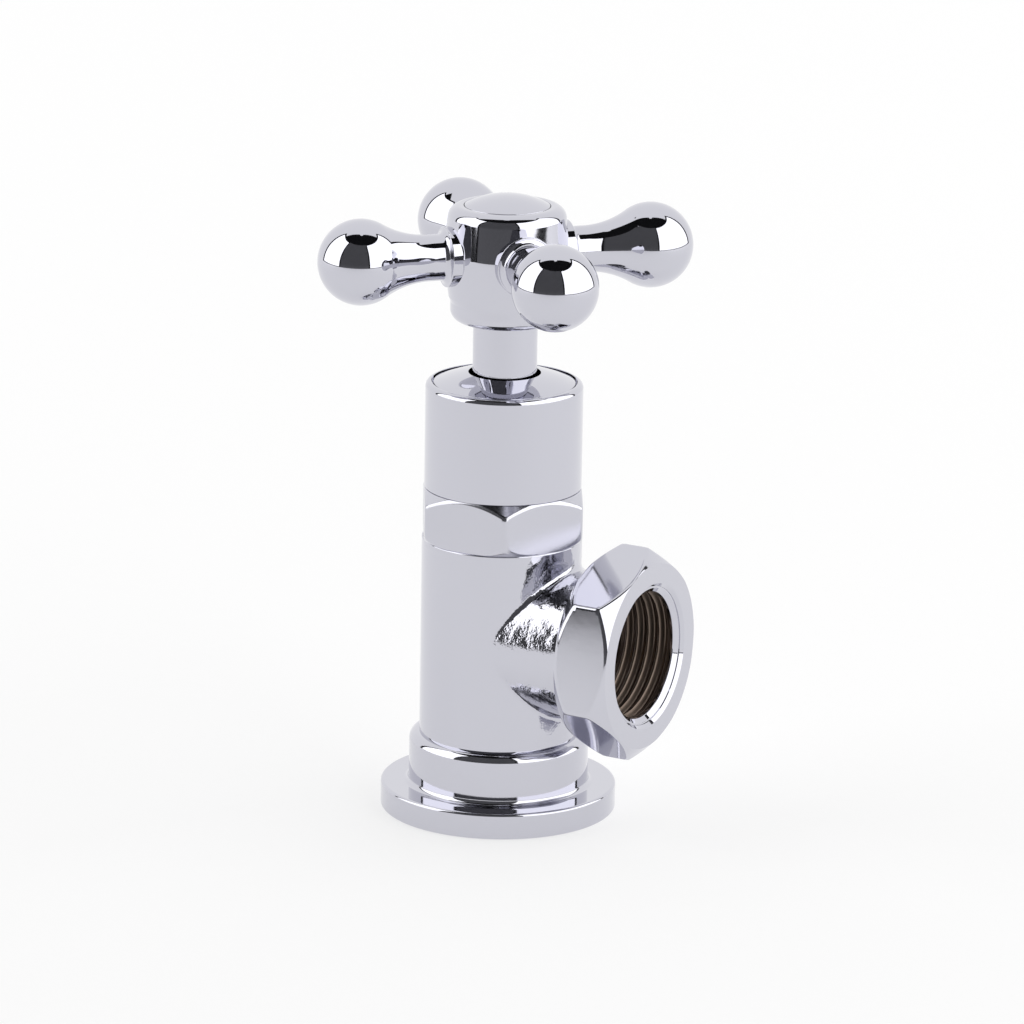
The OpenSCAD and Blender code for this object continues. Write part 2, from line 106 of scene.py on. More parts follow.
class BodySizes(bpy.types.PropertyGroup):
    """Sizes of the valve body and its ports."""

    tube_d: size_value("Tube diameter", "Outside diameter of the upright tube", 0.024)
    tube_top: size_value("Tube top", "Height of the tube's top face", bottom_of("cover_sleeve") - 0.0077)
    flange_h: size_value("Flange height", "Thickness of the base flange", 0.004)
    flange_round: size_value("Flange rounding", "Rounding of the flange's edges", 0.00045)
    collar_out: size_value("Collar step", "How far the collar stands out, and its shoulder's radius", 0.0015)
    collar_top: size_value("Collar top", "Height at which the collar's shoulder meets the tube", 0.0118)
    cove: size_value("Cove", "Radius between collar and flange", 0.0008)
    top_round: size_value("Top rounding", "Rounding of the tube's top edge", 0.00018)
    mouth_d: size_value("Mouth diameter", "Diameter of the bevel at each port's mouth", 0.0219)
    inlet_depth: size_value("Inlet depth", "Depth of the inlet's thread", 0.012)
    outlet_depth: size_value("Outlet depth", "Depth of the outlet's thread", 0.011)
    relief_d: size_value("Relief diameter", "Wide end of the cone above the inlet's thread", 0.01896)
    relief_top: size_value("Relief top", "Height of the cone's narrow end", 0.013605)
    branch_d: size_value("Branch diameter", "Outside diameter of the branch", 0.0222)
    branch_blend: size_value("Branch blend", "Radius of the cast fillet between tube and branch", 0.0011)
    branch_cove: size_value("Branch cove", "Radius between branch and hexagon", 0.0005)
    waterway_d: size_value("Waterway", "Bore between chamber and outlet", 0.013)
    chamber_d: size_value("Chamber", "Bore of the chamber above the seat", 0.0172)
    seat_d: size_value("Seat bore", "Bore through the seat", 0.0125)
    seat_lip: size_value("Seat lip", "Wall of the seat's raised lip", 0.0011)
    seat_z: size_value("Seat height", "Height of the seat's lip", 0.0195)
    web_z: size_value("Web height", "Height of the chamber's floor", 0.0175)
    ledge_z: size_value("Ledge height", "Height of the ledge under the fibre seal", bottom_of("bonnet_seal"))
    spigot_d: size_value("Spigot bore", "Bore for the bonnet's spigot", 0.02)
    hex_af: size_value("Hexagon", "Width across the flats of the outlet's hexagon", 0.028)
    hex_l: size_value("Hexagon length", "Length of the outlet's hexagon", 0.0086)
    hex_turn: angle_value("Hexagon turn", "Turn of the outlet's hexagon about its own axis", 8.3)
    hex_front: size_value("Front chamfer", "Length of the chamfer at the hexagon's front", 0.002)
    hex_back: size_value("Back chamfer", "Length of the chamfer at the hexagon's back", 0.0024)
    hex_edge: size_value("Edge softness", "Width over which the plating rounds the hexagons' edges", 0.0004)
    cast_depth: size_value("Cast waves", "Height of the cast skin's waves", 0.00002)
    cast_size: size_value("Cast grain", "Size of the cast skin's waves", 0.0026)


class ThreadSizes(bpy.types.PropertyGroup):
    """Sizes of the two pipe threads."""

    pitch: size_value("Pitch", "Distance between two crests", 0.0254 / 14)
    crest_d: size_value("Crest diameter", "Diameter between opposite crests", 0.01906)
    lead_in: size_value("Lead-in", "Depth at which the plated lead-in cone ends", 0.0016)
    lead_in_d: size_value("Lead-in diameter", "Diameter at the mouth of the lead-in cone", 0.0204)
    crest_width: plain_value("Crest width", "Share of the pitch that a crest takes", 0.12)
    root_wall: size_value("Root wall", "Wall of the thread's ring at the grooves", 0.00008)
    clearance: size_value("Clearance", "Gap between the thread's ring and the bore", 0.00001)


class BonnetSizes(bpy.types.PropertyGroup):
    """Sizes of the bonnet's hexagon and barrel."""

    hex_af: size_value("Hexagon", "Width across the flats", 0.0235)
    hex_h: size_value("Hexagon height", "Height of the hexagon", 0.0077)
    turn: angle_value("Turn", "Turn of the hexagon about the spindle", 1.0)
    corner_round: size_value("Corner rounding", "Radius of the hexagon's lower corners", 0.00245)
    seam_step: size_value("Seam step", "Depth at which the corners' rounding would run out", 0.00015)
    chamfer: size_value("Chamfer", "Length of the chamfer on the upper corners", 0.0016)
    barrel_d: size_value("Barrel", "Diameter of the barrel inside the sleeve", 0.018)
    spigot_d: size_value("Spigot", "Diameter of the spigot", 0.0199)
    thread_d: size_value("Thread bore", "Bore for the spindle's thread", 0.012)
    guide_d: size_value("Guide bore", "Bore that guides the stem", 0.0081)
    guide_z: size_value("Guide height", "Height of the guide's lower face", 0.047)
    gland_z: size_value("Gland floor", "Height of the stuffing box's floor", 0.05)
    gland_d: size_value("Gland bore", "Bore of the stuffing box", 0.013)


class CoverSizes(bpy.types.PropertyGroup):
    """Sizes of the cover sleeve, the domed cover and the stem tube."""

    wall: size_value("Wall", "Wall of the sleeve", 0.0009)
    lip: size_value("Lip", "Rounding of the sleeve's top lip", 0.00085)
    foot: size_value("Foot rounding", "Rounding of the sleeve's lower edge", 0.0002)
    ring_d: size_value("Ring bore", "Bore of the ring round the bonnet's barrel", 0.0181)
    ring_h: size_value("Ring height", "Height of that ring", 0.0035)
    ledge_w: size_value("Ledge width", "Width of the ledge under the domed cover", 0.0016)
    ledge_h: size_value("Ledge height", "Thickness of that ledge", 0.0014)
    dome_h: size_value("Dome height", "Height of the domed cover above its rim", 0.0015)
    dome_hole: size_value("Dome hole", "Hole in the domed cover", 0.0108)
    dome_rim: size_value("Dome rim", "Width of the domed cover's thick rim", 0.0023)
    thick: size_value("Dome recess", "Height of the recess inside that rim", 0.0015)
    edge: size_value("Edge", "Rounding of the domed cover's edges", 0.00012)
    tube_wall: size_value("Tube wall", "Wall of the stem tube", 0.0005)


class HandleSizes(bpy.types.PropertyGroup):
    """Sizes of the cross handle and its index cap."""

    mid_d: size_value("Hub middle", "Diameter of the hub in the arms' plane", 0.0187)
    top_d: size_value("Hub top", "Diameter that the upper taper would reach at the top", 0.0173)
    low_d: size_value("Hub low end", "Diameter at the lower taper's end", 0.0171)
    band_d: size_value("Band", "Diameter of the lower band", 0.0165)
    band_h: size_value("Band height", "Height of the lower band", 0.003)
    slope_h: size_value("Slope height", "Height of the slope above the band", 0.0008)
    top_round: size_value("Top rounding", "Rounding of the hub's top edge", 0.0019)
    bottom_round: size_value("Bottom rounding", "Rounding of the hub's bottom edge", 0.0018)
    waist: size_value("Waist blend", "Height over which the two tapers blend", 0.0008)
    tube_bore: size_value("Tube bore", "Bore for the stem tube", 0.0097)
    tube_seat: size_value("Tube seat", "Depth of that bore", 0.0039)
    bush_d: size_value("Bush bore", "Bore for the splined bush", 0.0121)
    web_z: size_value("Web height", "Height of the web under the screw", top_of("spline_bush"))
    web_t: size_value("Web thickness", "Thickness of that web", 0.0018)
    screw_hole: size_value("Screw hole", "Hole through that web", 0.0043)
    pocket_d: size_value("Pocket", "Bore round the screw's head", 0.009)
    cap_bore: size_value("Cap bore", "Bore for the index cap", 0.01286)
    cap_depth: size_value("Cap depth", "Depth of that bore", 0.0022)
    arm_z: size_value("Arm height", "Height of the arms' axis above the hub's bottom", 0.0102)
    arm_turn: angle_value("Arm turn", "Direction of the first arm, from the outlet", -42.5)
    arm_reach: size_value("Arm reach", "Distance from the spindle's axis to a ball's centre", 0.0225)
    ball_d: size_value("Ball", "Diameter of the ball ends", 0.0128)
    neck_d: size_value("Neck", "Diameter of the arms' necks", 0.0069)
    neck_at: size_value("Neck place", "Distance from the axis to the neck's thinnest place", 0.012)
    root_d: size_value("Root", "Diameter of the arms' roots", 0.009)
    root_out: size_value("Root step", "How far the roots stand out from the hub", 0.0003)
    root_edge: size_value("Root edge", "Rounding of the roots' edges", 0.00015)
    cap_rise: size_value("Cap rise", "Height of the index cap's dome", 0.0016)
    cap_wall: size_value("Cap wall", "Wall of the index cap", 0.0009)
    cap_groove: size_value("Cap groove", "Depth of the groove for the index cap's ring", 0.00075)
    cap_edge: size_value("Cap edge", "Rounding of the index cap's rim", 0.0001)


class FinishSettings(bpy.types.PropertyGroup):
    """Colours and grain of the finishes."""

    chrome: colour_value("Chrome", "Colour that the plating gives to what it mirrors", (0.60, 0.60, 0.66))
    polish: plain_value("Polish", "Roughness of the polished plating", 0.03)
    satin: plain_value("Satin", "Roughness of the machined plating", 0.16)
    bronze: colour_value("Bronze", "Colour of the bare thread", (0.21, 0.165, 0.135))
    brass: colour_value("Brass", "Colour of the turned brass", (0.72, 0.53, 0.25))
    rubber: colour_value("Rubber", "Colour of the rubber", (0.018, 0.018, 0.018))
    fibre: colour_value("Fibre", "Colour of the pressed fibre seal", (0.30, 0.07, 0.04))
    nylon: colour_value("Nylon", "Colour of the moulded bush", (0.72, 0.69, 0.60))
    steel: colour_value("Steel", "Colour of the zinc plated steel", (0.56, 0.57, 0.58))


class StudioSettings(bpy.types.PropertyGroup):
    """Camera, floor, cards and lamps."""

    azimuth: angle_value("Azimuth", "Camera's direction round the stopcock", 29.02)
    elevation: angle_value("Elevation", "Camera's height angle", 15.64)
    roll: angle_value("Roll", "Turn of the picture about its middle", 0.96)
    distance: size_value("Distance", "Camera's distance", 1.0)
    lens: plain_value("Lens", "Focal length in millimetres on a 36 mm sensor", 235.6)
    aim_z: size_value("Aim height", "Height that the camera looks at", 0.04569)
    aim_side: size_value("Aim offset", "How far to the right of the axis the camera looks", 0.00143)
    floor_r: size_value("Floor radius", "Radius of the round floor", 1.05)
    card_r: size_value("Card distance", "Distance of the cards and soft lights", 1.12)
    backdrop: colour_value("Backdrop", "Colour of the background", (1.0, 1.0, 1.0))
    floor_shade: plain_value("Floor shade", "Share of the floor's brightness that a shadow can take", 0.35)
    panel_light: plain_value("Panel light", "Brightness of the soft lights", 1.9)
    card: colour_value("Card", "Colour of the grey card behind the camera", (0.13, 0.13, 0.135))
    flag: colour_value("Flag", "Colour of the black flag above it", (0.012, 0.012, 0.013))


GROUPS = (BodySizes, ThreadSizes, BonnetSizes, CoverSizes, HandleSizes, FinishSettings, StudioSettings)


class StopcockSettings(bpy.types.PropertyGroup):
    """All sizes, finishes and studio settings."""

    body: PointerProperty(type=BodySizes)
    thread: PointerProperty(type=ThreadSizes)
    bonnet: PointerProperty(type=BonnetSizes)
    cover: PointerProperty(type=CoverSizes)
    handle: PointerProperty(type=HandleSizes)
    finish: PointerProperty(type=FinishSettings)
    studio: PointerProperty(type=StudioSettings)


def settings():
    """The scene's settings."""
    return bpy.context.scene.stopcock


def unit(vectors):
    """Vectors scaled to length one."""
    return vectors / np.maximum(np.linalg.norm(vectors, axis=-1, keepdims=True), SHARPNESS)


def smooth_min(a, b, width):
    """The lower of two heights, with a parabola of the given width where they cross."""
    share = np.clip(0.5 + 0.5 * (b - a) / width, 0.0, 1.0)
    return b + (a - b) * share - width * share * (1.0 - share)


def ease(x):
    """Cubic step from 0 to 1 with flat ends."""
    x = np.clip(x, 0.0, 1.0)
    return x * x * (3.0 - 2.0 * x)


def bow(centre, radius, start, stop):
    """A run along a circle, from one angle to the other, with normals away from its centre."""
    sweep = np.linspace(start, stop, max(3, int(abs(stop - start) / ARC_STEP) + 2))
    normals = np.stack([np.cos(sweep), np.sin(sweep)], axis=1)
    return np.asarray(centre) + radius * normals, normals


def straight(start, stop):
    """A straight run between two points, with the outside on the right of the travel."""
    ends = np.array([start, stop], float)
    along = unit(ends[1] - ends[0])
    return ends, np.array([[along[1], -along[0]]] * 2)


def outline(corners, closed=False):
    """Runs along corners (r, z) or (r, z, rounding). Each rounding is an arc tangent to the two straights that meet
    there. The outside lies on the right of the travel."""
    spots = np.array([corner[:2] for corner in corners], float)
    rounding = [corner[2] if len(corner) > 2 else 0.0 for corner in corners]
    count = len(spots)
    steps = count if closed else count - 1
    along = [unit(spots[(i + 1) % count] - spots[i]) for i in range(steps)]
    leave, reach = spots.copy(), spots.copy()
    arcs = {}
    for i in (k for k in range(count) if rounding[k] > 0):
        before, after = along[i - 1], along[i]
        turn = np.arctan2(before[0] * after[1] - before[1] * after[0], before @ after)
        cut = rounding[i] * abs(np.tan(turn / 2))
        reach[i] = spots[i] - before * cut
        leave[i] = spots[i] + after * cut
        right = np.array([before[1], -before[0]])
        sweep = np.linspace(0.0, turn, max(3, int(abs(turn) / ARC_STEP) + 2))
        normals = np.stack([np.cos(sweep) * right[0] - np.sin(sweep) * right[1],
                            np.sin(sweep) * right[0] + np.cos(sweep) * right[1]], axis=1)
        centre = reach[i] - np.sign(turn) * rounding[i] * right
        arcs[i] = (centre + np.sign(turn) * rounding[i] * normals, normals)
    runs = []
    for i in range(steps):
        following = (i + 1) % count
        if np.linalg.norm(reach[following] - leave[i]) > WELD:
            runs.append(straight(leave[i], reach[following]))
        if following in arcs:
            runs.append(arcs[following])
    return runs


def window_ring(half_turn, low, middle, high):
    """Directions and heights round a rectangle on a cylinder, one for each step around, as a circle pushed out to it.
    The rectangle spans half_turn to both sides and low to high, and its middle keeps the circle's middle height."""
    around = np.linspace(0.0, 2 * np.pi, AROUND + 1)
    side = np.clip(np.sqrt(2.0) * np.cos(around), -1.0, 1.0)
    rise = np.clip(np.sqrt(2.0) * np.sin(around), -1.0, 1.0)
    return half_turn * side, middle + np.where(rise > 0, high - middle, middle - low) * rise


def window_steps(half_turn):
    """Directions along the rectangle's top edge, from the right end to the left one."""
    quarter = AROUND // 4
    around = np.linspace(-np.pi / 4, np.pi / 4, quarter + 1)
    return half_turn * np.sqrt(2.0) * np.sin(around)


def between(start, stop, steps, power=1.0):
    """A grid of rows from one curve to the other, closer together near the first where power is over 1."""
    share = np.linspace(0.0, 1.0, steps + 1)[:, None] ** power
    return (1.0 - share) * start[None, :] + share * stop[None, :]


class Skin:
    """Grids of points with normals that are welded into one closed mesh."""

    def __init__(self):
        self.points = []
        self.normals = []
        self.cast = []
        self.triangles = []
        self.count = 0

    def add(self, points, normals, cast=None):
        """Adds a grid of points, two triangles to each cell, turned to face the way of its normals."""
        rows, columns = points.shape[:2]
        index = np.arange(rows * columns).reshape(rows, columns)
        a, b = index[:-1, :-1].ravel(), index[1:, :-1].ravel()
        c, d = index[1:, 1:].ravel(), index[:-1, 1:].ravel()
        triangles = np.concatenate([np.stack([a, b, c], 1), np.stack([a, c, d], 1)])
        flat, directions = points.reshape(-1, 3), unit(normals.reshape(-1, 3))
        corners = flat[triangles]
        facing = np.cross(corners[:, 1] - corners[:, 0], corners[:, 2] - corners[:, 0])
        turned = np.einsum("ij,ij->i", facing, directions[triangles].sum(axis=1)) < 0
        triangles[turned] = triangles[turned][:, ::-1]
        self.points.append(flat)
        self.normals.append(directions)
        self.cast.append(np.zeros(len(flat)) if cast is None else np.broadcast_to(cast, points.shape[:2]).ravel())
        self.triangles.append(triangles + self.count)
        self.count += len(flat)

    def turn(self, runs, around, basis=np.eye(3), origin=(0.0, 0.0, 0.0)):
        """Carries runs of (r, z) round the basis's third axis."""
        c, s = np.cos(around)[None, :], np.sin(around)[None, :]
        for points, normals in runs:
            grids = []
            for values in (points, normals):
                across, up = values[:, 0][:, None], values[:, 1][:, None]
                grids.append(np.stack([across * c, across * s, up + 0.0 * c], axis=-1) @ basis.T)
            self.add(grids[0] + np.asarray(origin), grids[1])

    def mesh(self, name):
        """Welds the grids, drops triangles without area and keeps each grid's own normals at its edges."""
        points = np.concatenate(self.points)
        normals = np.concatenate(self.normals)
        cast = np.concatenate(self.cast)
        triangles = np.concatenate(self.triangles)
        keys = np.round(points / WELD).astype(np.int64)
        _, first, welded = np.unique(keys, axis=0, return_index=True, return_inverse=True)
        welded = welded.reshape(-1)
        joined = welded[triangles]
        whole = (joined[:, 0] != joined[:, 1]) & (joined[:, 1] != joined[:, 2]) & (joined[:, 2] != joined[:, 0])
        triangles, joined = triangles[whole], joined[whole]
        mesh = bpy.data.meshes.new(name)
        mesh.from_pydata(points[first], [], joined)
        mesh.attributes.new("cast", "FLOAT", "POINT").data.foreach_set("value", cast[first].astype(np.float32))
        mesh.shade_smooth()
        mesh.normals_split_custom_set(normals[triangles.ravel()])
        return mesh

    def piece(self, name, body, slot, material, replaced=()):
        """Makes the welded mesh an object that rides on a body and stands for CAD nodes."""
        item = bpy.data.objects.new(name, self.mesh(name))
        bpy.context.scene.collection.objects.link(item)
        item.data.materials.append(material)
        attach(item, body)
        if replaced:
            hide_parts(*replaced)
        return item


def surface(shape, rows, columns):
    """Points of shape(row, column) on a grid, with normals across its two slopes, taken over a small step."""
    u, v = np.meshgrid(rows, columns, indexing="ij")
    du, dv = 1e-4 * np.ptp(rows), 1e-4 * np.ptp(columns)
    along = shape(u + du, v) - shape(u - du, v)
    across = shape(u, v + dv) - shape(u, v - dv)
    return shape(u, v), unit(np.cross(along, across))


def hexagon_radius(turn, half_width, start, softness):
    """Distance from a hexagon's middle to its side in each direction. Corners lie at start and each sixth of a turn
    from it, and are rounded over the softness."""
    sector = np.pi / 3
    off = np.mod(turn - start, sector) - sector / 2
    nearest = half_width / np.cos(off)
    neighbour = half_width / np.cos(sector - np.abs(off))
    return smooth_min(nearest, neighbour, softness)


def hexagon_turns(start):
    """Directions round a hexagon, closer together near its corners, beginning at one of them."""
    step = np.linspace(-1.0, 1.0, AROUND // 6 + 1)[:-1]
    near = np.sign(step) * np.abs(step) ** 1.7 * np.pi / 6
    turns = (start + np.arange(6)[:, None] * np.pi / 3 + near[None, :]).ravel()
    return np.append(turns, turns[0] + 2 * np.pi)


def cast_waves(points, size):
    """Waves of a cast skin and their slope: the mean of plane waves in seeded directions, one to two grains long."""
    draw = np.random.default_rng(11)
    waves = unit(draw.normal(size=(18, 3))) * (2 * np.pi / (size * draw.uniform(0.6, 1.5, size=(18, 1))))
    phase = points @ waves.T + draw.uniform(0, 2 * np.pi, size=18)
    return np.sin(phase).mean(axis=-1) * 2.5, np.cos(phase) @ waves * (2.5 / len(waves))


def roughen(points, normals, cast, depth, size):
    """Moves points along their normals by the cast waves times the cast share, and tilts the normals to suit."""
    height, slope = cast_waves(points, size)
    across = slope - np.sum(slope * normals, axis=-1, keepdims=True) * normals
    moved = points + normals * (height * cast * depth)[..., None]
    return moved, unit(normals - across * (cast * depth)[..., None])


def cast_share(points, axis_z, low, high):
    """How cast the skin is: full near the branch's axis, less outwards, none behind the tube and at its two ends."""
    away = np.hypot(points[..., 1], points[..., 2] - axis_z)
    ends = ease((points[..., 2] - low) / 0.0015) * ease((high - points[..., 2]) / 0.0015)
    return (1.0 - ease((away - 0.0135) / 0.004)) * ease(points[..., 0] / 0.004) * ends


def branch_basis():
    """Axes of the outlet: first two across it, third out of its mouth."""
    return np.array([[0.0, 0.0, 1.0], [1.0, 0.0, 0.0], [0.0, 1.0, 0.0]])


def into_branch_basis():
    """Axes of the outlet: first two across it, third into its mouth."""
    return np.array([[0.0, 0.0, -1.0], [-1.0, 0.0, 0.0], [0.0, 1.0, 0.0]])


def valve_body_skin(s):
    """The body: flange, collar and bores turned about the spindle, the branch and its ports about the outlet, and
    between them windows, which are grids on a cylinder from the branch's curve out to a rectangle."""
    outlet = mount("outlet")
    face_x, _, axis_z = outlet["pos_m"]
    port_r = outlet["dims"]["r_mm"] / 1000
    tube_r = s.tube_d / 2
    flange_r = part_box("valve_body")[1].y
    mouth_r = s.mouth_d / 2
    bevel = mouth_r - port_r
    branch_r = s.branch_d / 2
    chamber_r = s.chamber_d / 2
    skin = Skin()

    half = np.pi / 2
    front = window_steps(half)
    back = np.linspace(half, 3 * half, AROUND // 4 + 1)
    ring = np.concatenate([front, back[1:]])
    skin.turn(outline([
        (mouth_r, 0), (flange_r, 0, s.flange_round), (flange_r, s.flange_h, s.flange_round),
        (tube_r + s.collar_out, s.flange_h, s.cove), (tube_r + s.collar_out, s.collar_top, s.collar_out),
        (tube_r, s.collar_top)]), ring)
    skin.turn(outline([
        (chamber_r, s.web_z), (s.seat_d / 2 + s.seat_lip, s.web_z), (s.seat_d / 2 + s.seat_lip, s.seat_z, 0.0002),
        (s.seat_d / 2, s.seat_z, 0.0002), (s.seat_d / 2, s.relief_top), (s.relief_d / 2, s.inlet_depth),
        (port_r, s.inlet_depth), (port_r, bevel), (mouth_r, 0)]), ring)
    skin.turn(outline([
        (tube_r, s.tube_top - 2 * s.top_round), (tube_r, s.tube_top, s.top_round), (s.spigot_d / 2, s.tube_top, 0.0002),
        (s.spigot_d / 2, s.ledge_z), (chamber_r, s.ledge_z)]), ring)

    around = np.linspace(0.0, 2 * np.pi, AROUND + 1)
    c, sn = np.cos(around), np.sin(around)

    def wall(radius, low, high, curve_y, curve_z, outward, steps, is_cast):
        """An upright cylinder with an opening at the front: a window there and a plain grid behind."""
        turn_ring, z_ring = window_ring(half, low, axis_z, high)
        turns = between(np.arcsin(np.clip(curve_y / radius, -1.0, 1.0)), turn_ring, steps, 1.3)
        heights = between(curve_z, z_ring, steps, 1.3)
        normals = np.stack([np.cos(turns), np.sin(turns), 0 * turns], axis=-1)
        points = normals * radius + np.array([0, 0, 1.0]) * heights[..., None]
        cast = cast_share(points, axis_z, low, high) * is_cast
        points, normals = roughen(points, normals, cast, s.cast_depth, s.cast_size)
        skin.add(points, normals * outward, cast)
        sides = np.concatenate([z_ring[-AROUND // 8 - 1:-1], z_ring[:AROUND // 8 + 1]])
        far = np.stack([np.cos(back), np.sin(back), 0 * back], axis=-1)
        grid = np.broadcast_to(far[:, None, :], (len(back), len(sides), 3))
        skin.add(grid * radius + np.array([0, 0, 1.0]) * sides[None, :, None], grid * outward)

    # Outside wall, cast fillet and branch
    ball_r = s.branch_blend
    reach = branch_r + ball_r
    centre_x = np.sqrt((tube_r + ball_r) ** 2 - (reach * c) ** 2)
    centre = np.stack([centre_x, reach * c, axis_z + reach * sn], axis=-1)
    tube_normal = np.stack([centre_x, reach * c, 0 * c], axis=-1) / (tube_r + ball_r)
    branch_normal = np.stack([0 * c, c, sn], axis=-1)
    on_tube = centre - ball_r * tube_normal
    wall(tube_r, s.collar_top, s.tube_top - 2 * s.top_round, on_tube[:, 1], on_tube[:, 2], 1.0, 48, 1.0)
    cosine = np.clip(np.sum(tube_normal * branch_normal, axis=-1), -1.0, 1.0)
    opening = np.arccos(cosine)
    share = np.linspace(0.0, 1.0, 13)[:, None]
    blend = (np.sin((1 - share) * opening)[..., None] * tube_normal
             + np.sin(share * opening)[..., None] * branch_normal) / np.sin(opening)[None, :, None]
    fillet = centre[None] - ball_r * blend
    cast = cast_share(fillet, axis_z, s.collar_top, s.tube_top)
    skin.add(*roughen(fillet, unit(blend), cast, s.cast_depth, s.cast_size), cast)
    back_x = face_x - s.hex_l
    lengthwise = between(centre_x, np.full(AROUND + 1, back_x - s.branch_cove), 24)
    normals = np.broadcast_to(branch_normal[None], lengthwise.shape + (3,))
    points = np.stack([lengthwise, 0 * lengthwise + branch_r * c, 0 * lengthwise + axis_z + branch_r * sn], axis=-1)
    cast = cast_share(points, axis_z, s.collar_top, s.tube_top)
    cast = cast * ease((back_x - s.branch_cove - points[..., 0]) / 0.002)
    skin.add(*roughen(points, normals, cast, s.cast_depth, s.cast_size), cast)

    # Hexagon, its faces and the outlet's bore
    basis, origin = branch_basis(), (0.0, 0.0, axis_z)
    skin.turn(outline([(branch_r, back_x - s.branch_cove), (branch_r, back_x, s.branch_cove),
                       (branch_r + 2 * s.branch_cove, back_x)]), around, basis, origin)
    corner = np.pi / 2 - s.hex_turn
    turns = hexagon_turns(corner)
    flat_r = s.hex_af / 2
    corner_r = flat_r / np.cos(np.pi / 6)
    face_r = flat_r - 0.00005

    def hexagon(along, turn):
        """The hexagon: the lowest of its flats and its front and back chamfer cones, with soft creases."""
        side = hexagon_radius(turn, flat_r, corner, s.hex_edge)
        front_cone = face_r + (face_x - along) * (corner_r - face_r) / s.hex_front
        back_cone = face_r + (along - back_x) * (corner_r - face_r) / s.hex_back
        radius = smooth_min(smooth_min(side, front_cone, s.hex_edge), back_cone, s.hex_edge)
        return np.stack([along, radius * np.cos(turn), axis_z + radius * np.sin(turn)], axis=-1)

    rows = np.unique(np.concatenate([
        np.linspace(back_x, back_x + s.hex_back, 29), np.linspace(back_x + s.hex_back, face_x - s.hex_front, 9),
        np.linspace(face_x - s.hex_front, face_x, 29)]).round(9))
    points, normals = surface(hexagon, rows, turns)
    skin.add(points, normals * outward_sign(points, normals, (0, 0, axis_z)))
    for rim, inner_r, facing, grid_row in ((back_x, branch_r + 2 * s.branch_cove, -1.0, points[0]),
                                          (face_x, mouth_r, 1.0, points[-1])):
        inner = np.stack([np.full_like(c, rim), inner_r * c, axis_z + inner_r * sn], axis=-1)
        first = int(np.argmin(np.abs(np.mod(turns[0], 2 * np.pi) - around)))
        inner = np.roll(inner[:-1], -first, axis=0)
        inner = np.concatenate([inner, inner[:1]])
        skin.add(np.stack([inner, grid_row]), np.broadcast_to([facing, 0.0, 0.0], (2, AROUND + 1, 3)))
    skin.turn(outline([(mouth_r, face_x), (port_r, face_x - bevel), (port_r, face_x - s.outlet_depth),
                       (s.waterway_d / 2, face_x - s.outlet_depth)]), around, basis, origin)

    # Waterway and chamber
    water_r = s.waterway_d / 2
    enter_x = np.sqrt(chamber_r ** 2 - (water_r * c) ** 2)
    lengthwise = between(enter_x, np.full(AROUND + 1, face_x - s.outlet_depth), 2)
    points = np.stack([lengthwise, 0 * lengthwise + water_r * c, 0 * lengthwise + axis_z + water_r * sn], axis=-1)
    skin.add(points, -np.broadcast_to(branch_normal[None], points.shape))
    wall(chamber_r, s.web_z, s.ledge_z, water_r * c, axis_z + water_r * sn, -1.0, 8, 0.0)
    return skin


def outward_sign(points, normals, origin):
    """1 where the normals point away from the origin, or -1 where they all point towards it."""
    return 1.0 if np.mean(np.sum((points - np.asarray(origin)) * normals, axis=-1)) > 0 else -1.0


def thread_skin(s, depth, bore_r, basis, origin):
    """A thread as a ring in its bore. The inside is a helix: its radius goes with the depth plus the turn, as a wave
    with flat crests. It starts at the lead-in cone and runs out at the bore's end. z is the depth from the mouth."""
    around = np.linspace(0.0, 2 * np.pi, AROUND // 2 + 1)
    outer_r = bore_r - s.clearance
    crest_r = s.crest_d / 2
    root_r = outer_r - s.root_wall
    start = s.lead_in
    end = depth - 0.0002

    def groove(z, turn):
        """Inside surface of the thread."""
        phase = np.mod(z / s.pitch - turn / (2 * np.pi), 1.0)
        flank = np.abs(phase - 0.5) * 2
        height = np.clip((flank - s.crest_width) / (0.86 - s.crest_width), 0.0, 1.0)
        radius = crest_r + (root_r - crest_r) * (0.5 - 0.5 * np.cos(np.pi * height)) ** 0.8
        grown = ease((z - start) / (0.5 * s.pitch)) * ease((end - z) / (0.3 * s.pitch))
        radius = crest_r + (radius - crest_r) * grown
        return np.stack([radius * np.cos(turn), radius * np.sin(turn), z], axis=-1)

    skin = Skin()
    rows = np.linspace(start, end, int((end - start) / s.pitch * 22) + 1)
    points, normals = surface(groove, rows, around)
    inward = -np.stack([np.cos(around), np.sin(around), 0 * around], axis=-1)[None]
    sign = np.sign(np.sum(normals * inward, axis=-1, keepdims=True).mean())
    skin.add(points @ basis.T + origin, normals * sign @ basis.T)
    skin.turn(outline([(crest_r, start), (outer_r, start), (outer_r, end), (crest_r, end)]), around, basis, origin)
    return skin


def lead_in_skin(s, mouth_r, bore_r, basis, origin):
    """The plated lead-in: a ring with a cone inside, from just under the mouth's bevel down to the crests."""
    around = np.linspace(0.0, 2 * np.pi, AROUND // 2 + 1)
    outer_r = bore_r - s.clearance
    crest_r = s.crest_d / 2
    top = mouth_r - bore_r + 0.00008
    skin = Skin()
    low = s.lead_in - 2 * s.clearance
    skin.turn(outline([(s.lead_in_d / 2, top, 0.00008), (outer_r, top), (outer_r, low), (crest_r, low),
                       (crest_r, low - 0.0004, 0.0003)], closed=True), around, basis, origin)
    return skin


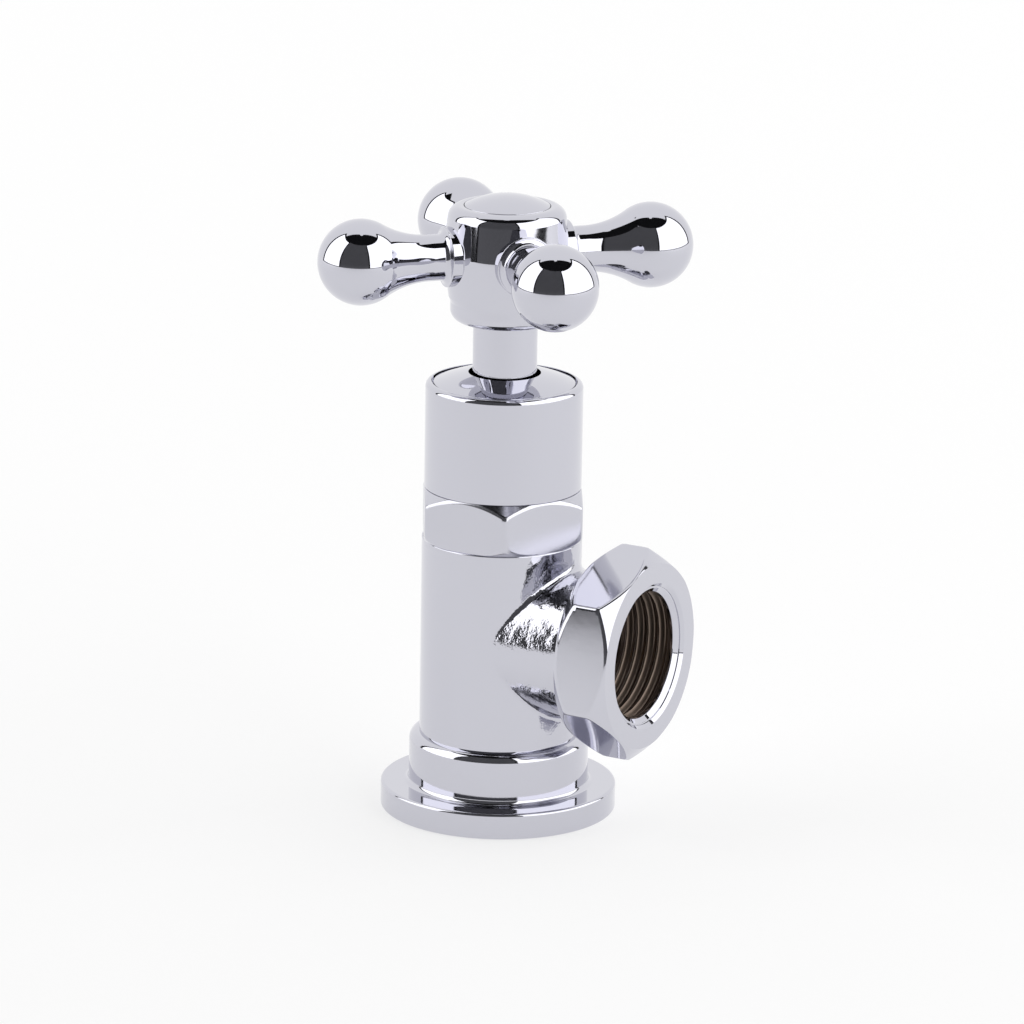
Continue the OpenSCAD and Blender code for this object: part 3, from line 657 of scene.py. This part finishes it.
def bonnet_skin(s):
    """The bonnet: a hexagon with round lower corners and chamfered upper ones, with spigot, barrel and bores turned
    about the spindle."""
    low, high = bottom_of("bonnet"), top_of("bonnet")
    top = bottom_of("cover_sleeve")
    seat = top - s.hex_h
    flat_r = s.hex_af / 2
    corner_r = flat_r / np.cos(np.pi / 6)
    softness = settings().body.hex_edge
    turns = hexagon_turns(s.turn)

    def hexagon(z, turn):
        """The hexagon: the lowest of its flats, its lower rounding and its upper chamfer cone."""
        up = np.clip(seat - s.seam_step + s.corner_round - z, 0.0, s.corner_round)
        lower = corner_r - s.corner_round + np.sqrt(s.corner_round ** 2 - up ** 2)
        upper = flat_r + (top - z) * (corner_r - flat_r) / s.chamfer
        side = hexagon_radius(turn, flat_r, s.turn, softness)
        radius = smooth_min(smooth_min(side, lower, softness), upper, softness)
        return np.stack([radius * np.cos(turn), radius * np.sin(turn), z], axis=-1)

    skin = Skin()
    rows = np.unique(np.concatenate([
        np.linspace(seat, seat + s.corner_round, 29), np.linspace(seat + s.corner_round, top - s.chamfer, 9),
        np.linspace(top - s.chamfer, top, 23)]).round(9))
    points, normals = surface(hexagon, rows, turns)
    skin.add(points, normals * outward_sign(points, normals, (0, 0, (seat + top) / 2)))
    for z, inner_r, facing, edge in ((seat, s.spigot_d / 2, -1.0, points[0]), (top, s.barrel_d / 2, 1.0, points[-1])):
        inner = np.stack([inner_r * np.cos(turns), inner_r * np.sin(turns), np.full_like(turns, z)], axis=-1)
        skin.add(np.stack([inner, edge]), np.broadcast_to([0.0, 0.0, facing], (2, len(turns), 3)))
    skin.turn(outline([(s.barrel_d / 2, top), (s.barrel_d / 2, high), (s.gland_d / 2, high), (s.gland_d / 2, s.gland_z),
                       (s.guide_d / 2, s.gland_z), (s.guide_d / 2, s.guide_z), (s.thread_d / 2, s.guide_z),
                       (s.thread_d / 2, low), (s.spigot_d / 2, low), (s.spigot_d / 2, seat)]), turns)
    return skin


def dome(radius, centre_z, sphere, edge, stop):
    """Runs up a dome: a small arc that touches both the upright wall and the sphere, then the sphere up to the given
    direction. The first point lies on the wall, at the height where the small arc begins."""
    edge_z = centre_z + np.sqrt((sphere - edge) ** 2 - (radius - edge) ** 2)
    meet = np.arctan2(edge_z - centre_z, radius - edge)
    return [bow((radius - edge, edge_z), edge, 0.0, meet), bow((0, centre_z), sphere, meet, stop)]


def cover_sleeve_skin(s):
    """The sleeve in half section, turned: round lip, ledge for the domed cover and ring round the barrel."""
    low, high = bottom_of("cover_sleeve"), top_of("cover_sleeve")
    radius = radius_of("cover_sleeve")
    inner = radius - s.wall
    ledge_z = bottom_of("domed_cover")
    skin = Skin()
    skin.turn(outline([
        (s.ring_d / 2, low), (radius, low, s.foot), (radius, high, s.lip), (inner, high), (inner, ledge_z),
        (inner - s.ledge_w, ledge_z), (inner - s.ledge_w, ledge_z - s.ledge_h), (inner, ledge_z - s.ledge_h),
        (inner, low + s.ring_h), (s.ring_d / 2, low + s.ring_h)], closed=True), np.linspace(0, 2 * np.pi, 193))
    return skin


def domed_cover_skin(s):
    """The domed cover, turned: a sphere from its rim up to the hole's edge, hollow within the thick rim."""
    low, high = bottom_of("domed_cover"), top_of("domed_cover")
    radius = radius_of("domed_cover")
    hole = s.dome_hole / 2
    lift = ((radius ** 2 - hole ** 2) / s.dome_h + s.dome_h) / 2
    sphere = np.hypot(lift, hole)
    recess = radius - s.dome_rim
    top = dome(radius, high - lift, sphere, s.edge, np.arctan2(lift, hole))
    skin = Skin()
    skin.turn(top + outline([(hole, high), (hole, low + s.thick), (recess, low + s.thick), (recess, low), (radius, low),
                             top[0][0][0]]), np.linspace(0, 2 * np.pi, 193))
    return skin


def stem_tube_skin(s):
    """The stem tube, a plain turned wall."""
    low, high = bottom_of("stem_tube"), top_of("stem_tube")
    radius = radius_of("stem_tube")
    skin = Skin()
    skin.turn(outline([(radius - s.tube_wall, low), (radius, low), (radius, high), (radius - s.tube_wall, high)],
                      closed=True), np.linspace(0, 2 * np.pi, 129))
    return skin


def cross_handle_skin(s):
    """The handle: a hub turned about the spindle, with four windows from which the arms grow. Each arm is turned about
    its own axis: root, neck, a sweep that touches the ball, and the ball."""
    low, high = bottom_of("cross_handle"), top_of("cross_handle")
    arm_z = low + s.arm_z
    mid_r = s.mid_d / 2
    draft = np.arctan2(mid_r - s.top_d / 2, high - arm_z)
    round_z = high - s.top_round
    round_x = mid_r - (s.top_round + np.sin(draft) * (round_z - arm_z)) / np.cos(draft)
    window_low = low + s.band_h + s.slope_h
    window_high = round_z + s.top_round * np.sin(draft)
    low_slope = (mid_r - s.low_d / 2) / (arm_z - window_low)

    def hub_radius(z):
        """Radius of the two tapers, blended where they meet."""
        return smooth_min(mid_r + (z - arm_z) * low_slope, mid_r - (z - arm_z) * np.tan(draft), s.waist * low_slope)

    half = np.pi / 4
    steps = window_steps(half)
    ring = np.concatenate([steps[:-1] + s.arm_turn + k * np.pi / 2 for k in range(4)] + [steps[:1] + s.arm_turn + 2 * np.pi])
    skin = Skin()
    bottom = outline([(s.tube_bore / 2, low), (s.band_d / 2, low, s.bottom_round),
                      (s.band_d / 2, low + s.band_h, 0.00012), (s.low_d / 2, window_low)])
    top = [bow((round_x, round_z), s.top_round, draft, np.pi / 2)] + outline([
        (round_x, high), (s.cap_bore / 2, high, 0.0001), (s.cap_bore / 2, high - s.cap_depth),
        (s.pocket_d / 2, high - s.cap_depth), (s.pocket_d / 2, s.web_z + s.web_t), (s.screw_hole / 2, s.web_z + s.web_t),
        (s.screw_hole / 2, s.web_z), (s.bush_d / 2, s.web_z), (s.bush_d / 2, low + s.tube_seat),
        (s.tube_bore / 2, low + s.tube_seat), (s.tube_bore / 2, low)])
    skin.turn(bottom + top, ring)

    around = np.linspace(0.0, 2 * np.pi, AROUND + 1)
    c, sn = np.cos(around), np.sin(around)
    root_r = s.root_d / 2
    curve_z = arm_z + root_r * sn
    curve_out = np.sqrt(hub_radius(curve_z) ** 2 - (root_r * c) ** 2)
    turn_ring, z_ring = window_ring(half, window_low, arm_z, window_high)
    turns = between(np.arctan2(root_r * c, curve_out), turn_ring, 14)
    heights = between(curve_z, z_ring, 14)
    radius = hub_radius(heights)
    slope = (hub_radius(heights + 1e-6) - hub_radius(heights - 1e-6)) / 2e-6
    root_x = mid_r + s.root_out
    neck_r, ball_r = s.neck_d / 2, s.ball_d / 2
    span = s.arm_reach - s.neck_at
    sweep_r = (span ** 2 + neck_r ** 2 - ball_r ** 2) / (2 * (ball_r - neck_r))
    touch = np.arcsin(span / (sweep_r + ball_r))
    arm = outline([(root_r, root_x - 0.0003), (root_r, root_x, s.root_edge), (neck_r, root_x, root_r - neck_r - s.root_edge),
                   (neck_r, s.neck_at)])
    sweep = np.linspace(0.0, touch, 40)
    arm.append((np.stack([neck_r + sweep_r - sweep_r * np.cos(sweep), s.neck_at + sweep_r * np.sin(sweep)], axis=1),
                np.stack([np.cos(sweep), -np.sin(sweep)], axis=1)))
    ball = np.linspace(-touch, np.pi / 2, 48)
    arm.append((np.stack([ball_r * np.cos(ball), s.arm_reach + ball_r * np.sin(ball)], axis=1),
                np.stack([np.cos(ball), np.sin(ball)], axis=1)))
    for k in range(4):
        turn = s.arm_turn + k * np.pi / 2
        out = np.array([np.cos(turn), np.sin(turn), 0.0])
        side = np.array([-out[1], out[0], 0.0])
        up = np.array([0.0, 0.0, 1.0])
        basis = np.stack([side, up, out], axis=1)
        spin = turns + turn
        normals = np.stack([np.cos(spin), np.sin(spin), -slope], axis=-1)
        points = np.stack([radius * np.cos(spin), radius * np.sin(spin), heights], axis=-1)
        skin.add(points, normals)
        local = np.stack([np.broadcast_to(root_r * c, (2, AROUND + 1)), np.broadcast_to(root_r * sn, (2, AROUND + 1)),
                          np.stack([curve_out, np.full(AROUND + 1, root_x - 0.0003)])], axis=-1)
        facing = np.broadcast_to(np.stack([c, sn, 0 * c], axis=-1), local.shape)
        skin.add(local @ basis.T + [0, 0, arm_z], facing @ basis.T)
        skin.turn(arm, around, basis, (0, 0, arm_z))
    return skin


def index_cap_skin(s):
    """The index cap, turned: a sphere over a hollow skirt with a groove for its ring."""
    low, high = bottom_of("index_cap"), top_of("index_cap")
    ring_low, ring_high = bottom_of("cap_ring"), top_of("cap_ring")
    radius = radius_of("index_cap")
    groove = radius - s.cap_groove
    inner = groove - s.cap_wall
    roof = high - s.cap_rise - s.cap_wall
    sphere = (radius ** 2 + s.cap_rise ** 2) / (2 * s.cap_rise)
    top = dome(radius, high - sphere, sphere, s.cap_edge, np.pi / 2)
    skin = Skin()
    skin.turn(outline([(0, roof), (inner, roof), (inner, low), (radius, low), (radius, ring_low), (groove, ring_low),
                       (groove, ring_high), (radius, ring_high), top[0][0][0]]) + top, np.linspace(0, 2 * np.pi, 129))
    return skin


class Nodes:
    """A short way to build a node tree: each call adds a node, sets its values and links its sockets."""

    def __init__(self, tree):
        self.tree = tree
        tree.nodes.clear()

    def __call__(self, kind, inputs=None, **properties):
        made = self.tree.nodes.new(kind)
        for key, value in properties.items():
            setattr(made, key, value)
        for key, value in (inputs or {}).items():
            if isinstance(value, bpy.types.NodeSocket):
                self.tree.links.new(value, made.inputs[key])
            else:
                made.inputs[key].default_value = value
        return made


def rgba(rgb):
    """A colour with full alpha."""
    return (*rgb, 1.0)


def finish(name, colour, metallic, roughness, spread, grain, bump, stretch=(1.0, 1.0, 1.0), cast=0.0):
    """A finish with an uneven gloss and a fine relief: two noises in object space, the one scaled to the grain's size,
    the other ten times wider, and a third, coarser relief where the surface is cast."""
    material = bpy.data.materials.new(name)
    material.use_nodes = True
    add = Nodes(material.node_tree)
    place = add("ShaderNodeTexCoord").outputs["Object"]
    mapping = add("ShaderNodeMapping", {"Vector": place, "Scale": stretch}).outputs["Vector"]
    wide = add("ShaderNodeTexNoise", {"Vector": mapping, "Scale": 0.1 / grain, "Detail": 3.0}).outputs["Fac"]
    gloss = add("ShaderNodeMapRange", {"Value": wide, "From Min": 0.3, "From Max": 0.7, "To Min": roughness,
                                       "To Max": roughness + spread}).outputs["Result"]
    fine = add("ShaderNodeTexNoise", {"Vector": mapping, "Scale": 1.0 / grain, "Detail": 2.0}).outputs["Fac"]
    normal = add("ShaderNodeBump", {"Height": fine, "Distance": bump, "Strength": 1.0}).outputs["Normal"]
    if cast:
        share = add("ShaderNodeAttribute", attribute_name="cast").outputs["Fac"]
        coarse = add("ShaderNodeTexNoise", {"Vector": place, "Scale": 900.0, "Detail": 3.0, "Roughness": 0.6})
        height = add("ShaderNodeMath", {0: coarse.outputs["Fac"], 1: share}, operation="MULTIPLY").outputs["Value"]
        normal = add("ShaderNodeBump", {"Height": height, "Distance": cast, "Strength": 1.0,
                                        "Normal": normal}).outputs["Normal"]
    shader = add("ShaderNodeBsdfPrincipled", {"Base Color": rgba(colour), "Metallic": metallic, "Roughness": gloss,
                                              "Normal": normal})
    add("ShaderNodeOutputMaterial", {"Surface": shader.outputs["BSDF"]})
    return material


def polished():
    """Polished chrome plating."""
    s = settings().finish
    return finish("polished chrome", s.chrome, 1.0, s.polish, 0.02, 0.003, 0.0000012)


def plated_casting():
    """Chrome plating over a casting that is polished but for the corner at the branch."""
    s = settings().finish
    return finish("plated casting", s.chrome, 1.0, s.polish + 0.02, 0.03, 0.003, 0.0000015, cast=0.00006)


def machined():
    """Chrome plating over machined facets, a little matt."""
    s = settings().finish
    return finish("machined plating", s.chrome, 1.0, s.satin, 0.05, 0.0008, 0.000002)


def bare_thread():
    """The dark bare metal of the cut threads."""
    s = settings().finish
    return finish("bare thread", s.bronze, 1.0, 0.32, 0.1, 0.0006, 0.000004)


def stage_material(name, colour, strength, shadow_share=0.0):
    """A card or floor that shows its own brightness to camera, glossy and transmission rays, less what a shadow takes.
    Other rays see the plain diffuse colour."""
    material = bpy.data.materials.new(name)
    material.use_nodes = True
    add = Nodes(material.node_tree)
    diffuse = add("ShaderNodeBsdfDiffuse", {"Color": rgba([shadow_share * v for v in colour])}).outputs["BSDF"]
    rays = add("ShaderNodeLightPath").outputs
    seen = add("ShaderNodeMath", {0: rays["Is Camera Ray"], 1: rays["Is Glossy Ray"]}, operation="MAXIMUM").outputs[0]
    seen = add("ShaderNodeMath", {0: seen, 1: rays["Is Transmission Ray"]}, operation="MAXIMUM").outputs[0]
    level = add("ShaderNodeMath", {0: seen, 1: strength}, operation="MULTIPLY").outputs[0]
    glow = add("ShaderNodeEmission", {"Color": rgba(colour), "Strength": level}).outputs["Emission"]
    both = add("ShaderNodeAddShader", {0: diffuse, 1: glow}).outputs["Shader"]
    add("ShaderNodeOutputMaterial", {"Surface": both})
    return material


def light_material(name, strength):
    """A soft light's cloth."""
    material = bpy.data.materials.new(name)
    material.use_nodes = True
    add = Nodes(material.node_tree)
    glow = add("ShaderNodeEmission", {"Color": (1, 1, 1, 1), "Strength": strength}).outputs["Emission"]
    add("ShaderNodeOutputMaterial", {"Surface": glow})
    return material


def matt_material(name, colour):
    """A card of one matt colour."""
    material = bpy.data.materials.new(name)
    material.use_nodes = True
    add = Nodes(material.node_tree)
    card = add("ShaderNodeBsdfDiffuse", {"Color": rgba(colour)}).outputs["BSDF"]
    add("ShaderNodeOutputMaterial", {"Surface": card})
    return material


def panel(name, material, from_side, to_side, low, high, radius):
    """A curved panel of a sphere round the stopcock, between two directions from the camera's and two heights."""
    s = settings().studio
    sides = np.radians(np.linspace(from_side, to_side, 25)) + s.azimuth - np.pi / 2
    rises = np.radians(np.linspace(low, high, 17))
    side, rise = np.meshgrid(sides, rises, indexing="ij")
    points = radius * np.stack([np.cos(rise) * np.cos(side), np.cos(rise) * np.sin(side), np.sin(rise)], axis=-1)
    index = np.arange(points.shape[0] * points.shape[1]).reshape(points.shape[:2])
    quads = np.stack([index[:-1, :-1], index[:-1, 1:], index[1:, 1:], index[1:, :-1]], axis=-1).reshape(-1, 4)
    mesh = bpy.data.meshes.new(name)
    mesh.from_pydata(points.reshape(-1, 3), [], quads)
    mesh.materials.append(material)
    mesh.shade_smooth()
    card = bpy.data.objects.new(name, mesh)
    card.visible_camera = False
    bpy.context.scene.collection.objects.link(card)
    return card


class STOPCOCK_OT_valve_body(bpy.types.Operator):
    """Builds the valve body with its cast branch"""

    bl_idname = "stopcock.valve_body"
    bl_label = "Valve body"

    def execute(self, context):
        valve_body_skin(settings().body).piece("valve_body_skin", "valve", "chrome", plated_casting(), ["valve_body"])
        return {"FINISHED"}


class STOPCOCK_OT_port_threads(bpy.types.Operator):
    """Builds the pipe threads in both ports and the outlet's plated lead-in"""

    bl_idname = "stopcock.port_threads"
    bl_label = "Port threads"

    def execute(self, context):
        s = settings()
        ports = {
            "inlet": (s.body.inlet_depth, np.eye(3)),
            "outlet": (s.body.outlet_depth, into_branch_basis()),
        }
        bare, plated = bare_thread(), polished()
        for name, (depth, basis) in ports.items():
            port = mount(name)
            bore_r = port["dims"]["r_mm"] / 1000
            origin = np.array(port["pos_m"], float)
            thread = thread_skin(s.thread, depth, bore_r, basis, origin)
            thread.piece(name + "_thread", "valve", "brass", bare)
            lead = lead_in_skin(s.thread, s.body.mouth_d / 2, bore_r, basis, origin)
            lead.piece(name + "_lead_in", "valve", "chrome", plated)
        return {"FINISHED"}


class STOPCOCK_OT_bonnet(bpy.types.Operator):
    """Builds the bonnet"""

    bl_idname = "stopcock.bonnet"
    bl_label = "Bonnet"

    def execute(self, context):
        bonnet_skin(settings().bonnet).piece("bonnet_skin", "valve", "chrome", machined(), ["bonnet"])
        return {"FINISHED"}


class STOPCOCK_OT_covers(bpy.types.Operator):
    """Builds the cover sleeve, the domed cover and the stem tube"""

    bl_idname = "stopcock.covers"
    bl_label = "Covers"

    def execute(self, context):
        s = settings().cover
        plating = polished()
        cover_sleeve_skin(s).piece("cover_sleeve_skin", "valve", "chrome", plating, ["cover_sleeve"])
        domed_cover_skin(s).piece("domed_cover_skin", "valve", "chrome", plating, ["domed_cover"])
        stem_tube_skin(s).piece("stem_tube_skin", "handle_assembly", "chrome", plating, ["stem_tube"])
        return {"FINISHED"}


class STOPCOCK_OT_handle(bpy.types.Operator):
    """Builds the cross handle and its index cap"""

    bl_idname = "stopcock.handle"
    bl_label = "Cross handle"

    def execute(self, context):
        s = settings().handle
        plating = polished()
        cross_handle_skin(s).piece("cross_handle_skin", "handle_assembly", "chrome", plating, ["cross_handle"])
        index_cap_skin(s).piece("index_cap_skin", "handle_assembly", "chrome", plating, ["index_cap"])
        return {"FINISHED"}


class STOPCOCK_OT_inner_pieces(bpy.types.Operator):
    """Gives the pieces inside the valve and the handle their finishes"""

    bl_idname = "stopcock.inner_pieces"
    bl_label = "Inner pieces"

    def execute(self, context):
        s = settings().finish
        finishes = {
            "brass": finish("turned brass", s.brass, 1.0, 0.2, 0.08, 0.0004, 0.000001, (1.0, 1.0, 12.0)),
            "rubber": finish("rubber", s.rubber, 0.0, 0.55, 0.2, 0.0005, 0.000008),
            "fibre": finish("pressed fibre", s.fibre, 0.0, 0.7, 0.2, 0.0006, 0.00001),
            "nylon": finish("nylon", s.nylon, 0.0, 0.4, 0.1, 0.001, 0.000003),
            "steel": finish("zinc plated steel", s.steel, 1.0, 0.25, 0.1, 0.0005, 0.000002),
        }
        for part in frame["record"]["subparts"]:
            if part["material_slot"] in finishes:
                mesh = frame["nodes"][part["node"]].data
                mesh.materials.clear()
                mesh.materials.append(finishes[part["material_slot"]])
        return {"FINISHED"}


class STOPCOCK_OT_stage(bpy.types.Operator):
    """Builds the floor, the soft lights, the cards, the background and the camera"""

    bl_idname = "stopcock.stage"
    bl_label = "Stage"

    def execute(self, context):
        s = settings().studio
        scene = context.scene
        self.floor(s)
        soft = light_material("soft light", s.panel_light)
        edge = matt_material("light frame", s.flag)
        panel("soft_light_right", soft, 25, 118, 1, 58, s.card_r)
        panel("light_frame_right", edge, 22, 123, -2, 61, s.card_r + 0.02)
        panel("soft_light_left", soft, -112, -58, 1, 58, s.card_r)
        panel("light_frame_left", edge, -117, -55, -2, 61, s.card_r + 0.02)
        panel("grey_card", matt_material("grey card", s.card), -60, 28, -8, 60, s.card_r + 0.04)
        panel("black_flag", matt_material("black flag", s.flag), -100, 100, 59, 87, s.card_r + 0.06)
        self.backdrop(s, scene)
        self.camera(s, scene)
        scene.view_settings.view_transform = "Standard"
        return {"FINISHED"}

    def floor(self, s):
        """A round floor, denser near the stopcock."""
        radii = np.concatenate([[0.0], np.geomspace(0.01, s.floor_r, 24)])
        turns = np.linspace(0, 2 * np.pi, 97)
        flat = [(np.stack([radii[::-1], 0 * radii], axis=1), np.tile([0.0, 1.0], (len(radii), 1)))]
        skin = Skin()
        skin.turn(flat, turns)
        mesh = skin.mesh("floor")
        mesh.materials.append(stage_material("pale floor", s.backdrop, 1.0 - s.floor_shade, s.floor_shade))
        floor = bpy.data.objects.new("floor", mesh)
        floor.location.z = -0.0001
        bpy.context.scene.collection.objects.link(floor)

    def backdrop(self, s, scene):
        """An even background that also lights the stopcock."""
        world = bpy.data.worlds.new("backdrop")
        world.use_nodes = True
        add = Nodes(world.node_tree)
        background = add("ShaderNodeBackground", {"Color": rgba(s.backdrop), "Strength": 1.0}).outputs["Background"]
        add("ShaderNodeOutputWorld", {"Surface": background})
        scene.world = world

    def camera(self, s, scene):
        """A long lens aimed at the valve's middle and turned a little about its own axis."""
        right = np.array([np.cos(s.azimuth), np.sin(s.azimuth), 0.0])
        back = np.array([np.sin(s.azimuth) * np.cos(s.elevation), -np.cos(s.azimuth) * np.cos(s.elevation),
                         np.sin(s.elevation)])
        up = np.cross(back, right)
        place = np.array([0, 0, s.aim_z]) + s.aim_side * right + s.distance * back
        turned_right = np.cos(s.roll) * right + np.sin(s.roll) * up
        turned_up = np.cos(s.roll) * up - np.sin(s.roll) * right
        matrix = np.eye(4)
        matrix[:3, :] = np.stack([turned_right, turned_up, back, place], axis=1)
        lens = bpy.data.cameras.new("camera")
        lens.lens = s.lens
        lens.sensor_width = 36.0
        lens.clip_start = 0.01
        camera = bpy.data.objects.new("camera", lens)
        camera.matrix_world = Matrix(matrix.tolist())
        scene.collection.objects.link(camera)
        scene.camera = camera


OPERATORS = (STOPCOCK_OT_valve_body, STOPCOCK_OT_port_threads, STOPCOCK_OT_bonnet, STOPCOCK_OT_covers,
             STOPCOCK_OT_handle, STOPCOCK_OT_inner_pieces, STOPCOCK_OT_stage)


class STOPCOCK_PT_panel(bpy.types.Panel):
    """Lists the operators and the settings"""

    bl_label = "Stopcock"
    bl_idname = "STOPCOCK_PT_panel"
    bl_space_type = "VIEW_3D"
    bl_region_type = "UI"
    bl_category = "Stopcock"

    def draw(self, context):
        for operator in OPERATORS:
            self.layout.operator(operator.bl_idname)
        for group in ("body", "thread", "bonnet", "cover", "handle", "finish", "studio"):
            box = self.layout.box()
            box.label(text=group.capitalize())
            values = getattr(context.scene.stopcock, group)
            for name in values.__annotations__:
                box.prop(values, name)


CLASSES = GROUPS + (StopcockSettings,) + OPERATORS + (STOPCOCK_PT_panel,)


def register():
    """Registers the classes and the scene's settings."""
    for item in CLASSES:
        bpy.utils.register_class(item)
    bpy.types.Scene.stopcock = PointerProperty(type=StopcockSettings)


def unregister():
    """Removes what register added."""
    del bpy.types.Scene.stopcock
    for item in reversed(CLASSES):
        bpy.utils.unregister_class(item)


def main():
    register()
    for operator in OPERATORS:
        group, name = operator.bl_idname.split(".")
        getattr(getattr(bpy.ops, group), name)()


if __name__ == "__main__":
    main()
